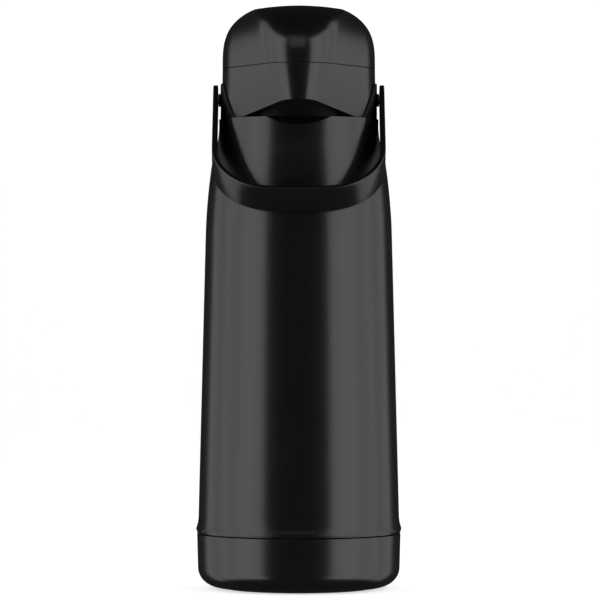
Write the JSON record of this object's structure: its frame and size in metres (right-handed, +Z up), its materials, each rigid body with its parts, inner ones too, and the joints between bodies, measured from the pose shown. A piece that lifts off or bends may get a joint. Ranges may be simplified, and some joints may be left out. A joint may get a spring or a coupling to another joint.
{
  "type": "pump airpot",
  "caption": "Glass-lined pump airpot with tapered body, duck-bill spout head, crowned push button, rear-hinged lid and swinging bail handle.",
  "frame": {"origin": "middle of the underside, where the non-slip pad rests on the table", "axes": "+Z up along the flask's axis, front with the spout towards -Y, +X to the right seen from the front"},
  "size_m": [0.1364, 0.1482, 0.3855],
  "materials": {
    "body_plastic": "satin black",
    "collar_plastic": "satin black",
    "handle_plastic": "satin black",
    "inner_plastic": "moulded light grey",
    "rubber_black": "matt rubber",
    "silicone": "translucent silicone",
    "refill_glass": "silvered vacuum glass",
    "tube_steel": "drawn tube",
    "hardware_steel": "zinc plated"
  },
  "bodies": {
    "pot": {"base_pad": "rubber_black", "base_cup": "body_plastic", "refill_cushion": "rubber_black", "glass_outer": "refill_glass", "glass_inner": "refill_glass", "mouth_gasket": "silicone", "outer_body": "body_plastic", "shoulder_collar": "collar_plastic", "front_panel": "body_plastic", "spout_housing": "body_plastic", "lid_hinge_pin": "hardware_steel", "housing_screws": "hardware_steel", "mouth_stopper": "inner_plastic", "pipe_seal": "silicone", "spout_pipe": "inner_plastic", "valve_chamber": "inner_plastic", "dip_tube": "tube_steel"},
    "ball": {"valve_ball": "hardware_steel"},
    "lid": {"lid_shell": "body_plastic", "lid_base": "inner_plastic", "lid_screws": "hardware_steel", "lid_gasket": "silicone", "bellows": "silicone", "return_spring": "hardware_steel"},
    "button": {"push_button": "body_plastic", "bellows_plate": "inner_plastic", "vent_valve": "silicone"},
    "bail": {"handle": "handle_plastic", "handle_pivot_pins": "hardware_steel"}
  },
  "joints": [
    {"name": "handle_swing", "type": "hinge", "parent": "pot", "child": "bail", "pos_m": [0, 0, 0.3235], "axis": [-1, 0, 0], "range_deg": [0, 268]},
    {"name": "lid_open", "type": "hinge", "parent": "pot", "child": "lid", "pos_m": [0, 0.052, 0.344], "axis": [-1, 0, 0], "range_deg": [0, 85]},
    {"name": "button_press", "type": "slide", "parent": "lid", "child": "button", "axis": [0, 0, -1], "range_m": [0, 0.014], "stiffness_N_per_m": 1200, "springref_m": -0.005, "deforming": ["bellows", "return_spring"]},
    {"name": "ball_lift", "type": "slide", "parent": "pot", "child": "ball", "axis": [0, 0, 1], "range_m": [0, 0.0035]}
  ]
}
